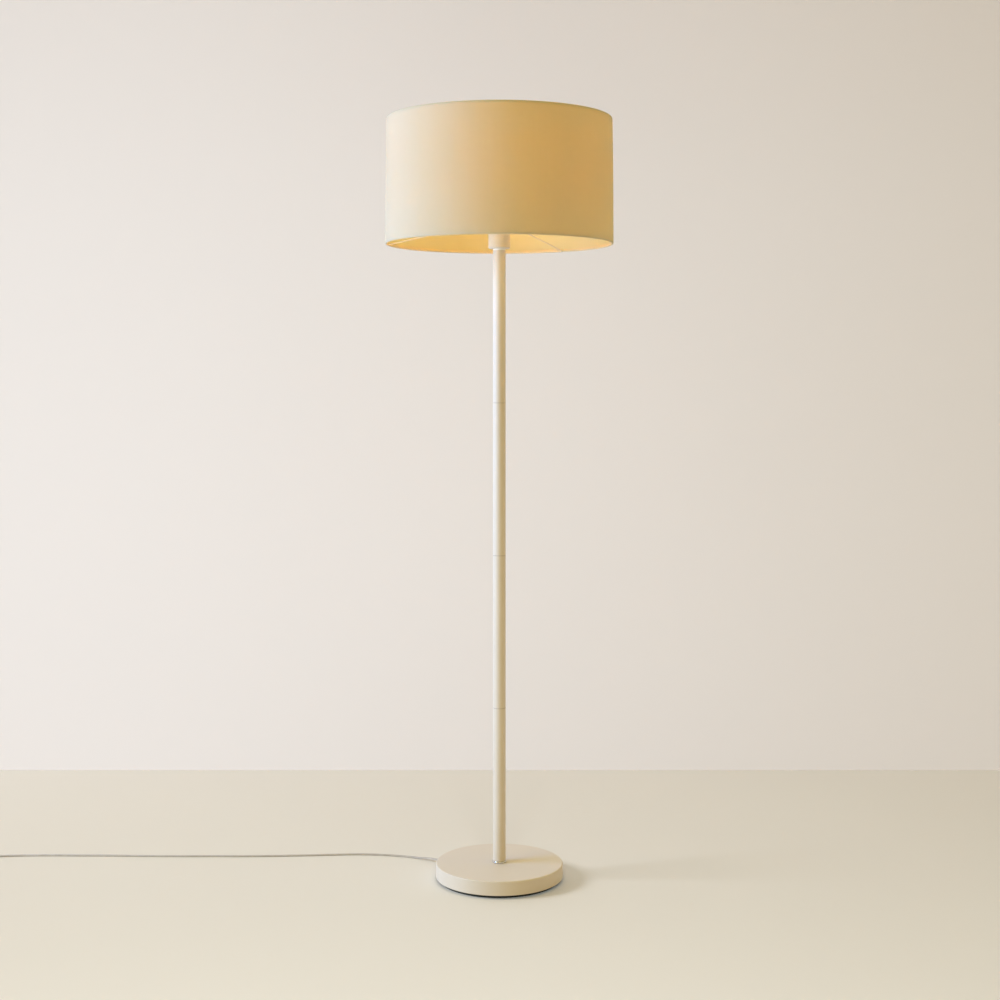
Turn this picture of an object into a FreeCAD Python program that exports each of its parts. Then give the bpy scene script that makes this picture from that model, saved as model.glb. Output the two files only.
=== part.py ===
import FreeCAD, Part
import math, os

# Column floor lamp with a drum shade.
# Millimetres, +Z up. Origin: centre of the base's underside, where it stands on the floor.
# -Y is the front; the mains lead leaves the base at the back left and runs to -X.

V = FreeCAD.Vector
os.makedirs("parts", exist_ok=True)

# ---------------------------------------------------------------- driving dimensions
TOTAL_H = 1500.0        # floor to the shade's top edge

BASE_R = 125.0          # pressed steel base cover
COVER_TOP = 33.6
COVER_EDGE = 6.6        # lower edge of the cover above the floor
COVER_T = 1.2
COVER_ROUND = 2.2
BAND_R = 117.5          # black bottom cover that shows below the base cover
PAD_R = 116.0
PAD_T = 1.5
WEIGHT_R = 112.0
WEIGHT_Z0, WEIGHT_Z1 = 18.4, 32.3
SCREW_PCD_R = 80.0
SCREW_AZ = (83.0, 203.0, 323.0)

FOOT_RING_R = 13.5
FOOT_RING_Z = (33.6, 37.4)

TUBE_R = 12.5
TUBE_T = 1.2
SECTION_L = 301.0
SECTIONS = 4
COLUMN_Z0 = FOOT_RING_Z[1]
COLUMN_Z1 = COLUMN_Z0 + SECTIONS * SECTION_L     # 1241.4
INSERT_L = 16.0

NIPPLE_R = 5.0          # M10 x 1 hollow threaded rod
NIPPLE_BORE = 3.6

SPACER_R = 12.4
SPACER_Z = (COLUMN_Z1, COLUMN_Z1 + 3.4)          # 1241.4 .. 1244.8

CUP_R = 21.5
CUP_T = 0.9
CUP_Z = (SPACER_Z[1], 1294.5)
CUP_ROUND = 2.6

SHOULDER_Z = (1294.7, 1297.4)                    # lampholder's shoulder that carries the shade
SKIRT_R = 19.6                                   # over the skirt's outside thread
SKIRT_TOP = 1324.0
SHELL_BORE = 13.45                               # Edison screw shell, 27 mm size

HUB_Z = (1297.7, 1299.2)
HUB_R = (20.4, 25.6)
RING_NUT_Z = (1299.5, 1309.7)

SHADE_Z = (1253.0, TOTAL_H)
SHADE_R_BOTTOM = 225.0
SHADE_R_TOP = 223.0
FABRIC_T = 0.5
LINER_T = 0.5
SHADE_WIRE_R = 1.3
HEM_H = 6.5
ARM_WIRE_R = 1.2
ARM_AZ = (53.6, 173.6, 293.6)                    # degrees from +X towards +Y

BULB_Z0 = 1290.2
BULB_R = 30.0
BULB_TRAVEL = 26.0

CORD_W, CORD_H = 5.4, 3.2                        # flat two-core mains flex
CORD_Z = 1.65
GLAND_AZ = 143.0
GLAND_Z = 9.5
GLAND_END = 151.0                                # distance of the sleeve's tip from the lamp's axis
LEAD_BEND_R = 12.0

SW_C = (-1116.0, 140.5)                          # foot switch, its long side along X
SW_L, SW_W = 80.0, 46.0
SW_SPLIT, SW_TOP = 9.0, 21.5
SW_ENTRY_Z = 4.6
BUTTON_R = 17.0
BUTTON_TOP = 26.5
BUTTON_TRAVEL = 3.0

COIL_C = (-1166.0, 26.0)
COIL_R = (25.8, 33.9)
COIL_Z = (0.5, 11.9)

PLUG_X, PLUG_Y0, PLUG_Z = -1187.0, -42.0, 6.85   # tip of the plug's sleeve; the plug points to -Y
PIN_R, PIN_L, PIN_PITCH = 2.0, 19.0, 18.6

nodes = {}


# ---------------------------------------------------------------- helpers
def put(name, shape):
    solids = shape.Solids
    assert solids, name
    for s in solids:
        assert s.isValid(), name
        assert s.Volume > 0, name
    nodes[name] = solids[0] if len(solids) == 1 else Part.makeCompound(solids)


def cyl(r, z0, z1, x=0.0, y=0.0):
    return Part.makeCylinder(r, z1 - z0, V(x, y, z0))


def tube(r, r_in, z0, z1, x=0.0, y=0.0):
    return cyl(r, z0, z1, x, y).cut(cyl(r_in, z0 - 1, z1 + 1, x, y))


def turned(profile, x=0.0, y=0.0):
    """Solid of revolution about Z from (radius, height) points."""
    pts = [V(r, 0, z) for r, z in profile]
    face = Part.Face(Part.makePolygon(pts + [pts[0]]))
    s = face.revolve(V(0, 0, 0), V(0, 0, 1), 360)
    s.translate(V(x, y, 0))
    return s


def turned_wire(edges):
    face = Part.Face(Part.Wire(edges))
    return face.revolve(V(0, 0, 0), V(0, 0, 1), 360)


def box(x0, x1, y0, y1, z0, z1):
    return Part.makeBox(x1 - x0, y1 - y0, z1 - z0, V(x0, y0, z0))


def at(shape, az=0.0, x=0.0, y=0.0, z=0.0):
    s = shape.copy()
    s.rotate(V(0, 0, 0), V(0, 0, 1), az)
    s.translate(V(x, y, z))
    return s


def ring_edges(shape, z, r=None, tol=0.02):
    """Circular edges of a shape at height z (and radius r)."""
    out = []
    for e in shape.Edges:
        c = e.Curve
        if isinstance(c, Part.Circle) and abs(c.Center.z - z) < tol:
            if r is None or abs(c.Radius - r) < tol:
                out.append(e)
    return out


def hexagon(af, z0, z1, x=0.0, y=0.0, turn=0.0):
    rr = af / math.sqrt(3)
    pts = [V(x + rr * math.cos(math.radians(turn + 60 * k)), y + rr * math.sin(math.radians(turn + 60 * k)), z0) for k in range(6)]
    return Part.Face(Part.makePolygon(pts + [pts[0]])).extrude(V(0, 0, z1 - z0))


def slab(length, width, corner, z0, z1, x, y):
    """Plate with rounded corners, its long side along X."""
    s = box(x - length / 2, x + length / 2, y - width / 2, y + width / 2, z0, z1)
    upright = [e for e in s.Edges if abs(e.Vertexes[0].Z - e.Vertexes[1].Z) > 0.5]
    return s.makeFillet(corner, upright)


def stadium(origin, across, up, w, h):
    """Closed outline of a flat flex: w wide along across, h high along up."""
    r = h / 2
    a = (w - h) / 2
    o, e, u = V(*origin), V(*across), V(*up)
    e.normalize()
    u.normalize()
    p1, p2 = o + e * a + u * r, o + e * a - u * r
    p3, p4 = o - e * a - u * r, o - e * a + u * r
    return Part.Wire([
        Part.Arc(p1, o + e * (a + r), p2).toShape(),
        Part.LineSegment(p2, p3).toShape(),
        Part.Arc(p3, o - e * (a + r), p4).toShape(),
        Part.LineSegment(p4, p1).toShape(),
    ])


def route(points, name):
    """Straight runs joined by tangent arcs; prints the radii."""
    p = [V(*q) for q in points]
    edges, radii, start = [], [], p[0]
    for k in range(1, len(p) - 1):
        a, b = p[k - 1] - p[k], p[k + 1] - p[k]
        la, lb = a.Length, b.Length
        a.normalize()
        b.normalize()
        turn = math.pi - a.getAngle(b)
        t = 0.45 * min(la, lb)
        r = t / math.tan(turn / 2)
        radii.append(round(r, 1))
        bis = a + b
        bis.normalize()
        mid = p[k] + bis * (r / math.cos(turn / 2) - r)
        s, e = p[k] + a * t, p[k] + b * t
        edges.append(Part.LineSegment(start, s).toShape())
        edges.append(Part.Arc(s, mid, e).toShape())
        start = e
    edges.append(Part.LineSegment(start, p[-1]).toShape())
    w = Part.Wire(edges)
    print(f"{name}: length {w.Length:.1f} mm, tightest radius {min(radii) if radii else 0}, radii {radii}")
    return w


def flex(path, first, name, binormal=None):
    """Flat flex swept along a path. binormal is the section's fixed direction."""
    d = V(*first)
    d.normalize()
    if binormal is None:
        b = V(0, 0, 1)
        across = b.cross(d)
        prof = stadium(path.Edges[0].Vertexes[0].Point, across, (0, 0, 1), CORD_W, CORD_H)
    else:
        b = V(*binormal)
        up = d.cross(b)
        prof = stadium(path.Edges[0].Vertexes[0].Point, b, up, CORD_W, CORD_H)
    mk = Part.BRepOffsetAPI.MakePipeShell(path)
    mk.setBiNormalMode(b)
    mk.add(prof)
    mk.build()
    mk.makeSolid()
    s = mk.shape()
    if s.Volume < 0:
        s.reverse()
    s = Part.Solid(s.Shells[0]) if not s.Solids else s.Solids[0]
    if s.Volume < 0:
        s.reverse()
    area = CORD_H * (CORD_W - CORD_H) + math.pi * (CORD_H / 2) ** 2
    print(f"{name}: volume {s.Volume:.1f}, section x length {area * path.Length:.1f}, valid {s.isValid()}")
    return s


def screw(r, head_r, z_tip, z_seat, z_head, x, y, slot=0.0):
    """Pan-head screw, head downwards if z_head < z_seat."""
    s = cyl(r, min(z_tip, z_seat), max(z_tip, z_seat), x, y).fuse(cyl(head_r, min(z_seat, z_head), max(z_seat, z_head), x, y))
    up = z_head > z_seat
    d = 1.1
    za, zb = (z_head - d, z_head + 1) if up else (z_head - 1, z_head + d)
    cross = box(x - head_r * 0.6, x + head_r * 0.6, y - 0.45, y + 0.45, za, zb).fuse(box(x - 0.45, x + 0.45, y - head_r * 0.6, y + head_r * 0.6, za, zb))
    return s.cut(cross).removeSplitter()


def polar(r, az, z=0.0):
    return V(r * math.cos(math.radians(az)), r * math.sin(math.radians(az)), z)


# ---------------------------------------------------------------- base
# Cover: a drawn steel dish, open below, its top edge slightly rounded.
cover = cyl(BASE_R, COVER_EDGE, COVER_TOP)
cover = cover.makeFillet(COVER_ROUND, ring_edges(cover, COVER_TOP))
cover = cover.makeFillet(0.5, ring_edges(cover, COVER_EDGE))
inside = cyl(BASE_R - COVER_T, COVER_EDGE - 1, COVER_TOP - COVER_T)
inside = inside.makeFillet(COVER_ROUND - COVER_T, ring_edges(inside, COVER_TOP - COVER_T))
cover = cover.cut(inside).cut(cyl(NIPPLE_R + 0.2, COVER_TOP - 3, COVER_TOP + 1))
# notch for the lead's bush, open downwards
notch = box(BASE_R - 6, BASE_R + 3, -4.1, 4.1, 0, GLAND_Z).fuse(
    Part.makeCylinder(4.1, 9, V(BASE_R - 6, 0, GLAND_Z), V(1, 0, 0)))
cover = cover.cut(at(notch, GLAND_AZ))
put("base_cover", cover)

weight = cyl(WEIGHT_R, WEIGHT_Z0, WEIGHT_Z1)
weight = weight.makeChamfer(1.2, ring_edges(weight, WEIGHT_Z0) + ring_edges(weight, WEIGHT_Z1))
weight = weight.cut(cyl(NIPPLE_R + 0.3, 0, 40)).cut(cyl(17.0, 10, 25.4))
for az in SCREW_AZ:
    c = polar(SCREW_PCD_R, az)
    weight = weight.cut(cyl(2.02, 10, 27.5, c.x, c.y))
put("base_weight", weight)

# Bottom cover: a moulded dish with three screw pillars and a slot for the lead.
bottom = tube(BAND_R, BAND_R - 2.0, PAD_T, 12.0).fuse(cyl(BAND_R, PAD_T, 4.0))
for az in SCREW_AZ:
    c = polar(SCREW_PCD_R, az)
    bottom = bottom.fuse(cyl(6.5, 3.0, WEIGHT_Z0, c.x, c.y))
for az in SCREW_AZ:
    c = polar(SCREW_PCD_R, az)
    bottom = bottom.cut(cyl(2.3, 0, 30, c.x, c.y)).cut(cyl(4.5, 0, 9.0, c.x, c.y))
bottom = bottom.cut(at(box(BAND_R - 5, BAND_R + 3, -3.6, 3.6, 6.6, 14), GLAND_AZ)).removeSplitter()
put("bottom_cover", bottom)

put("base_pad", cyl(PAD_R, 0, PAD_T))
put("bottom_screws", Part.makeCompound([
    screw(2.0, 4.0, 26.0, 9.0, 6.4, polar(SCREW_PCD_R, az).x, polar(SCREW_PCD_R, az).y) for az in SCREW_AZ]))

put("base_rod", tube(NIPPLE_R, NIPPLE_BORE, 18.9, COLUMN_Z0 + INSERT_L))
washer = tube(9.0, NIPPLE_R + 0.1, 24.2, 25.4)
for k in range(10):
    washer = washer.cut(at(box(7.4, 10, -0.7, 0.7, 24, 26), 36 * k))
put("base_washer", washer)
nut = hexagon(14.0, 19.4, 24.2).common(turned([(0, 19.4), (7.1, 19.4), (8.2, 20.1), (8.2, 23.5), (7.1, 24.2), (0, 24.2)]))
put("base_nut", nut.cut(cyl(NIPPLE_R, 18, 26)))

# Cord bush: a collar inside the cover, a neck through its notch and a ribbed sleeve outside.
gl = Part.makeCylinder(6.4, 2.2, V(BASE_R - 3.6, 0, GLAND_Z), V(1, 0, 0))
gl = gl.fuse(Part.makeCylinder(4.0, 4, V(BASE_R - 3.0, 0, GLAND_Z), V(1, 0, 0)))
gl = gl.fuse(Part.makeCylinder(5.8, 1.6, V(BASE_R + 0.2, 0, GLAND_Z), V(1, 0, 0)))
gl = gl.fuse(Part.makeCone(4.9, 3.5, GLAND_END - BASE_R - 1.8, V(BASE_R + 1.8, 0, GLAND_Z), V(1, 0, 0)))
for k in range(5):
    x0 = BASE_R + 5.0 + 3.6 * k
    gap = Part.makeCylinder(8, 1.3, V(x0, 0, GLAND_Z), V(1, 0, 0)).cut(Part.makeCylinder(3.35, 3, V(x0 - 1, 0, GLAND_Z), V(1, 0, 0)))
    gap = gap.common(box(x0 - 1, x0 + 3, -9, 9, 0, GLAND_Z - 1.2).fuse(box(x0 - 1, x0 + 3, -9, 9, GLAND_Z + 1.2, 20)) if k % 2 else box(x0 - 1, x0 + 3, -9, -1.2, 0, 20).fuse(box(x0 - 1, x0 + 3, 1.2, 9, 0, 20)))
    gl = gl.cut(gap)
bore = Part.Face(stadium((BASE_R - 10, 0, GLAND_Z), (0, 1, 0), (0, 0, 1), CORD_W, CORD_H)).extrude(V(60, 0, 0))
gl = gl.cut(bore).removeSplitter()
put("cord_bush", at(gl, GLAND_AZ))

# ---------------------------------------------------------------- column
foot = tube(FOOT_RING_R, NIPPLE_R + 0.15, *FOOT_RING_Z)
foot = foot.makeFillet(1.0, ring_edges(foot, FOOT_RING_Z[0], FOOT_RING_R) + ring_edges(foot, FOOT_RING_Z[1], FOOT_RING_R))
put("foot_ring", foot)

inserts = []
for k in range(SECTIONS):
    z0 = COLUMN_Z0 + k * SECTION_L
    z1 = z0 + SECTION_L
    t = tube(TUBE_R, TUBE_R - TUBE_T, z0, z1)
    t = t.makeChamfer(0.4, ring_edges(t, z0, TUBE_R) + ring_edges(t, z1, TUBE_R))
    put(f"tube_section_{k + 1}", t)
    inserts.append(tube(TUBE_R - TUBE_T, NIPPLE_R, z0 + 0.1, z0 + INSERT_L))
    inserts.append(tube(TUBE_R - TUBE_T, NIPPLE_R, z1 - INSERT_L, z1 - 0.1))
put("tube_inserts", Part.makeCompound(inserts))
for k in range(1, SECTIONS):
    z = COLUMN_Z0 + k * SECTION_L
    put(f"joiner_{k}", tube(NIPPLE_R, NIPPLE_BORE, z - INSERT_L + 2, z + INSERT_L - 2))

spacer = tube(SPACER_R, NIPPLE_R + 0.1, *SPACER_Z)
spacer = spacer.makeFillet(0.9, ring_edges(spacer, SPACER_Z[0], SPACER_R) + ring_edges(spacer, SPACER_Z[1], SPACER_R))
put("spacer_ring", spacer)
put("top_nipple", tube(NIPPLE_R, NIPPLE_BORE, COLUMN_Z1 - INSERT_L + 1, 1261.0))

# lead held inside the lamp: through the bush, under the weight, up the column
d_in = polar(1.0, GLAND_AZ)
side = V(0, 0, 1).cross(d_in)
a0 = polar(GLAND_END, GLAND_AZ, GLAND_Z)
a1 = polar(LEAD_BEND_R, GLAND_AZ, GLAND_Z)
cc = polar(LEAD_BEND_R, GLAND_AZ, GLAND_Z + LEAD_BEND_R)
am = cc + (V(0, 0, 1) * -1 + d_in * -1) * (LEAD_BEND_R / math.sqrt(2))
a2 = V(0, 0, GLAND_Z + LEAD_BEND_R)
lead_path = Part.Wire([
    Part.LineSegment(a0, a1).toShape(),
    Part.Arc(a1, am, a2).toShape(),
    Part.LineSegment(a2, V(0, 0, 1262.5)).toShape(),
])
put("inner_lead", flex(lead_path, (-d_in.x, -d_in.y, 0), "inner_lead", binormal=(side.x, side.y, 0)))

# ---------------------------------------------------------------- lampholder
cup = cyl(CUP_R, *CUP_Z)
cup = cup.makeFillet(CUP_ROUND, ring_edges(cup, CUP_Z[0]))
hollow = cyl(CUP_R - CUP_T, CUP_Z[0] + CUP_T, CUP_Z[1] + 1)
hollow = hollow.makeFillet(CUP_ROUND - CUP_T, ring_edges(hollow, CUP_Z[0] + CUP_T))
put("socket_cup", cup.cut(hollow).cut(cyl(NIPPLE_R + 0.15, CUP_Z[0] - 1, CUP_Z[0] + 3)))

cup_nut = hexagon(14.0, CUP_Z[0] + CUP_T, CUP_Z[0] + CUP_T + 4.0, turn=15).cut(cyl(NIPPLE_R, 1240, 1255))
put("cup_nut", cup_nut)

cap = turned([
    (NIPPLE_R, 1250.4), (9.0, 1250.4), (9.0, 1253.4), (15.0, 1253.4), (20.3, 1258.0), (20.3, 1286.0), (18.75, 1286.0),
    (18.75, 1266.0), (17.0, 1262.0), (14.0, 1256.2), (9.0, 1256.2), (9.0, 1260.4), (NIPPLE_R, 1260.4)])
put("holder_cap", cap)

insert = cyl(18.4, 1268.0, 1281.0)
insert = insert.cut(cyl(3.0, 1267.0, 1269.5))
for s in (-1, 1):
    insert = insert.cut(cyl(1.3, 1267.0, 1277.0, 7.0 * s, 0.0))          # core entries
    insert = insert.cut(cyl(2.6, 1276.5, 1282.0, 12.4 * s, 0.0))         # screw pockets
    insert = insert.cut(cyl(1.77, 1270.0, 1277.0, 12.4 * s, 0.0))
put("holder_insert", insert)
put("terminal_screws", Part.makeCompound([screw(1.75, 2.5, 1271.0, 1277.0, 1279.6, 12.4 * s, 0.0) for s in (-1, 1)]))
put("lead_cores", Part.makeCompound([
    Part.makeLoft([Part.Wire(Part.makeCircle(1.15, V(1.35 * s, 0, 1262.7))), Part.Wire(Part.makeCircle(1.15, V(7.0 * s, 0, 1267.9)))], True).Solids[0].fuse(
        cyl(1.15, 1267.9, 1276.5, 7.0 * s, 0.0)).removeSplitter() for s in (-1, 1)]))

# Skirt: slides into the cap below, carries the shade on its shoulder, threaded outside above it.
prof = [(14.6, 1281.4), (18.55, 1281.4), (18.55, SHOULDER_Z[0]), (21.3, SHOULDER_Z[0]), (21.3, SHOULDER_Z[1]), (SKIRT_R - 0.9, SHOULDER_Z[1])]
z = SHOULDER_Z[1] + 1.4
while z + 2.6 < SKIRT_TOP - 1.0:
    prof += [(SKIRT_R - 0.9, z), (SKIRT_R, z + 0.7), (SKIRT_R, z + 1.3), (SKIRT_R - 0.9, z + 2.0)]
    z += 2.7
prof += [(SKIRT_R - 0.9, SKIRT_TOP - 0.6), (SKIRT_R - 1.5, SKIRT_TOP), (17.5, SKIRT_TOP), (17.5, 1317.0), (14.6, 1316.6), (14.6, 1281.4)]
put("holder_skirt", turned(prof[:-1]))
put("screw_shell", turned([
    (SHELL_BORE, 1286.0), (14.1, 1286.0), (14.1, 1315.2), (14.5, 1315.6), (14.5, 1316.4), (SHELL_BORE, 1316.4)]))

tongue = Part.Face(Part.makePolygon([V(x, 0, z) for x, z in (
    (-7.5, 1281.1), (7.5, 1281.1), (7.5, 1281.7), (-2.0, 1281.7), (4.6, 1289.2), (4.6, 1289.8), (4.0, 1289.8), (-4.2, 1281.9), (-7.5, 1281.7))] + [V(-7.5, 0, 1281.1)])).extrude(V(0, 5.0, 0))
tongue.translate(V(0, -2.5, 0))
put("centre_contact", tongue)
strip = box(9.6, 13.9, -3.0, 3.0, 1281.1, 1281.6).fuse(box(13.4, 13.9, -3.0, 3.0, 1281.1, 1285.9))
put("side_contact", strip.removeSplitter())

rn = turned([(SKIRT_R + 0.15, RING_NUT_Z[0]), (28.0, RING_NUT_Z[0]), (28.5, RING_NUT_Z[0] + 0.5), (28.5, RING_NUT_Z[0] + 1.6),
             (28.0, RING_NUT_Z[0] + 2.1), (22.6, RING_NUT_Z[0] + 2.6), (22.2, RING_NUT_Z[1] - 0.5), (21.7, RING_NUT_Z[1]), (SKIRT_R + 0.15, RING_NUT_Z[1])])
for k in range(24):
    rn = rn.cut(at(cyl(0.8, RING_NUT_Z[0] + 3.2, RING_NUT_Z[1] + 1, 22.6, 0.0), 15 * k))
put("shade_ring_nut", rn)

# ---------------------------------------------------------------- shade
def shade_r(z):
    return SHADE_R_BOTTOM + (SHADE_R_TOP - SHADE_R_BOTTOM) * (z - SHADE_Z[0]) / (SHADE_Z[1] - SHADE_Z[0])

zb, zt = SHADE_Z
fold = FABRIC_T + LINER_T + 2 * SHADE_WIRE_R + 0.1       # from the outside to the inner fold of the hem
rb, rt = SHADE_R_BOTTOM - fold, SHADE_R_TOP - fold
fabric = turned([
    (shade_r(zb), zb), (shade_r(zt), zt), (rt - FABRIC_T, zt), (rt - FABRIC_T, zt - HEM_H), (rt, zt - HEM_H), (rt, zt - FABRIC_T),
    (shade_r(zt) - FABRIC_T, zt - FABRIC_T), (shade_r(zb) - FABRIC_T, zb + FABRIC_T), (rb, zb + FABRIC_T), (rb, zb + HEM_H),
    (rb - FABRIC_T, zb + HEM_H), (rb - FABRIC_T, zb)])
for az in ARM_AZ:
    fabric = fabric.cut(at(box(rb - 3, rb + 1.2, -2.6, 2.6, zb + FABRIC_T, zb + HEM_H + 1), az))
put("shade_fabric", fabric)
put("shade_liner", turned([
    (shade_r(zb) - FABRIC_T - LINER_T, zb + FABRIC_T + 0.05), (shade_r(zb) - FABRIC_T - 0.02, zb + FABRIC_T + 0.05),
    (shade_r(zt) - FABRIC_T - 0.02, zt - FABRIC_T - 0.05), (shade_r(zt) - FABRIC_T - LINER_T, zt - FABRIC_T - 0.05)]))

wire_rb = SHADE_R_BOTTOM - FABRIC_T - LINER_T - SHADE_WIRE_R - 0.06
wire_rt = SHADE_R_TOP - FABRIC_T - LINER_T - SHADE_WIRE_R - 0.06
wire_zb, wire_zt = zb + FABRIC_T + SHADE_WIRE_R + 0.04, zt - FABRIC_T - SHADE_WIRE_R - 0.04
ring_b = Part.makeTorus(wire_rb, SHADE_WIRE_R, V(0, 0, wire_zb))
ring_t = Part.makeTorus(wire_rt, SHADE_WIRE_R, V(0, 0, wire_zt))
put("shade_bottom_ring", ring_b)
put("shade_top_ring", ring_t)

hub = tube(HUB_R[1], HUB_R[0], *HUB_Z)
hub = hub.makeFillet(0.5, ring_edges(hub, HUB_Z[0], HUB_R[1]) + ring_edges(hub, HUB_Z[1], HUB_R[1]))
put("spider_hub", hub)
arms = []
for az in ARM_AZ:
    p, q = polar(HUB_R[1] - 1.6, az, (HUB_Z[0] + HUB_Z[1]) / 2 - 0.2), polar(wire_rb, az, wire_zb)
    d = q - p
    rod = Part.makeCylinder(ARM_WIRE_R, d.Length, p, d)
    rod = rod.cut(hub).cut(ring_b)
    arms.append(max(rod.Solids, key=lambda s: s.Volume))
put("spider_arms", Part.makeCompound(arms))

# ---------------------------------------------------------------- bulb, in a 27 mm screw cap
put("bulb_contact", turned([(0, BULB_Z0), (3.4, BULB_Z0), (4.6, BULB_Z0 + 0.5), (4.8, BULB_Z0 + 1.2), (0, BULB_Z0 + 1.2)]))
put("bulb_insulator", turned([(0, BULB_Z0 + 1.25), (5.0, BULB_Z0 + 1.25), (9.4, BULB_Z0 + 4.0), (0, BULB_Z0 + 4.0)]))
prof = [(0, BULB_Z0 + 4.05), (9.4, BULB_Z0 + 4.05), (12.2, BULB_Z0 + 5.2)]
z = BULB_Z0 + 5.6
while z + 3.6 < BULB_Z0 + 25.5:
    prof += [(12.2, z), (13.1, z + 1.2), (13.1, z + 1.9), (12.2, z + 3.1)]
    z += 3.62
prof += [(12.8, BULB_Z0 + 25.4), (12.8, BULB_Z0 + 27.2), (0, BULB_Z0 + 27.2)]
put("bulb_cap", turned(prof))
zc = BULB_Z0 + 79.0                                       # centre of the globe
cut_z = zc - 14.0
cut_r = math.sqrt(BULB_R ** 2 - 14.0 ** 2)
put("bulb_housing", turned([
    (0, BULB_Z0 + 27.3), (14.2, BULB_Z0 + 27.3), (14.8, BULB_Z0 + 31.0), (16.6, BULB_Z0 + 38.0), (20.0, BULB_Z0 + 47.0),
    (23.6, BULB_Z0 + 55.5), (26.0, BULB_Z0 + 61.5), (26.6, cut_z - 0.1), (0, cut_z - 0.1)]))
globe = Part.makeSphere(BULB_R, V(0, 0, zc)).cut(cyl(60, zc - 60, cut_z))
core = Part.makeSphere(BULB_R - 1.6, V(0, 0, zc)).cut(cyl(60, zc - 60, cut_z + 1.6))
put("bulb_globe", globe.cut(core))

# ---------------------------------------------------------------- flex on the floor
lead_1 = [
    tuple(a0),
    (-139.0, 104.9, 8.4),
    (-158.6, 119.2, 4.0),
    (-181.5, 131.9, CORD_Z),
    (-209.0, 139.6, CORD_Z),
    (-244.0, 147.4, CORD_Z),
    (-286.0, 151.6, CORD_Z),
    (-334.0, 149.8, CORD_Z),
    (-389.0, 144.4, CORD_Z),
    (-452.0, 140.0, CORD_Z),
    (-521.0, 136.9, CORD_Z),
    (-592.0, 137.3, CORD_Z),
    (-664.0, 136.7, CORD_Z),
    (-733.0, 138.9, CORD_Z),
    (-800.0, 142.7, CORD_Z),
    (-868.0, 143.3, CORD_Z),
    (-936.0, 145.3, CORD_Z),
    (-996.0, 144.2, CORD_Z),
    (-1038.0, 141.6, 2.4),
    (SW_C[0] + SW_L / 2 + 12.0, SW_C[1], SW_ENTRY_Z),
]
p = route(lead_1, "cord_lead")
put("cord_lead", flex(p, (d_in.x, d_in.y, 0), "cord_lead"))

lead_2 = [
    (SW_C[0] - SW_L / 2 - 12.0, SW_C[1], SW_ENTRY_Z),
    (-1188.0, 140.2, 2.5),
    (-1208.0, 131.0, CORD_Z),
    (-1217.0, 110.5, CORD_Z),
    (-1214.0, 86.5, CORD_Z),
    (-1204.5, 64.0, CORD_Z),
    (-1196.5, 42.0, 2.8),
]
p = route(lead_2, "cord_tail")
put("cord_tail", flex(p, (-1, 0, 0), "cord_tail"))

lead_3 = [
    (-1195.6, 14.0, 8.2),
    (-1193.2, -6.0, 5.6),
    (-1187.8, -25.0, 5.0),
    (PLUG_X, PLUG_Y0, PLUG_Z),
]
p = route(lead_3, "cord_end")
put("cord_end", flex(p, (2.4, -20.0, 0), "cord_end"))

coil = tube(COIL_R[1], COIL_R[0], *COIL_Z, *COIL_C)
coil = coil.makeFillet(2.6, [e for e in coil.Edges if isinstance(e.Curve, Part.Circle)])
put("cord_coil", coil)
tie = box(COIL_C[0] + COIL_R[0] - 0.5, COIL_C[0] + COIL_R[1] + 0.5, COIL_C[1] - 3.0, COIL_C[1] + 3.0, COIL_Z[0] - 0.5, COIL_Z[1] + 0.5)
tie = tie.makeFillet(2.2, [e for e in tie.Edges if abs(e.Vertexes[0].Y - e.Vertexes[-1].Y) > 1])
put("coil_tie", tie.cut(coil))

# ---------------------------------------------------------------- foot switch
sx, sy = SW_C
lower = slab(SW_L, SW_W, 18.0, 0.0, SW_SPLIT, sx, sy)
lower = lower.makeChamfer(1.0, [e for e in lower.Edges if abs(e.BoundBox.ZMax) < 0.01])
lower = lower.cut(slab(SW_L - 4.4, SW_W - 4.4, 15.8, 2.2, SW_SPLIT + 1, sx, sy))
for s in (-1, 1):
    post = cyl(4.2, 1.0, SW_SPLIT, sx + 31.0 * s, sy + 9.5 * s)
    lower = lower.fuse(post).cut(cyl(1.7, -1, 20, sx + 31.0 * s, sy + 9.5 * s)).cut(cyl(3.3, -1, 2.6, sx + 31.0 * s, sy + 9.5 * s))
lower = lower.fuse(tube(3.0, 1.4, 2.0, 6.5, sx, sy))          # spring post
for s in (-1, 1):
    hole = Part.Face(stadium((sx, sy, SW_ENTRY_Z), (0, 1, 0), (0, 0, 1), 8.4, 6.2)).extrude(V(60.0 * s, 0, 0))
    lower = lower.cut(hole)
put("switch_base", lower.removeSplitter())

upper = slab(SW_L, SW_W, 18.0, SW_SPLIT + 0.1, SW_TOP, sx, sy)
upper = upper.makeFillet(5.0, [e for e in upper.Edges if abs(e.BoundBox.ZMin - SW_TOP) < 0.01])
room = slab(SW_L - 4.4, SW_W - 4.4, 15.8, SW_SPLIT - 1, SW_TOP - 2.4, sx, sy)
room = room.makeFillet(3.0, [e for e in room.Edges if abs(e.BoundBox.ZMin - (SW_TOP - 2.4)) < 0.01])
upper = upper.cut(room).cut(cyl(BUTTON_R + 0.4, SW_SPLIT, SW_TOP + 1, sx, sy))
for s in (-1, 1):
    upper = upper.fuse(cyl(4.0, SW_SPLIT + 0.1, SW_TOP - 1.5, sx + 31.0 * s, sy + 9.5 * s)).cut(cyl(1.5, SW_SPLIT - 1, SW_TOP - 3.5, sx + 31.0 * s, sy + 9.5 * s))
put("switch_cover", upper.removeSplitter())

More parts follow.
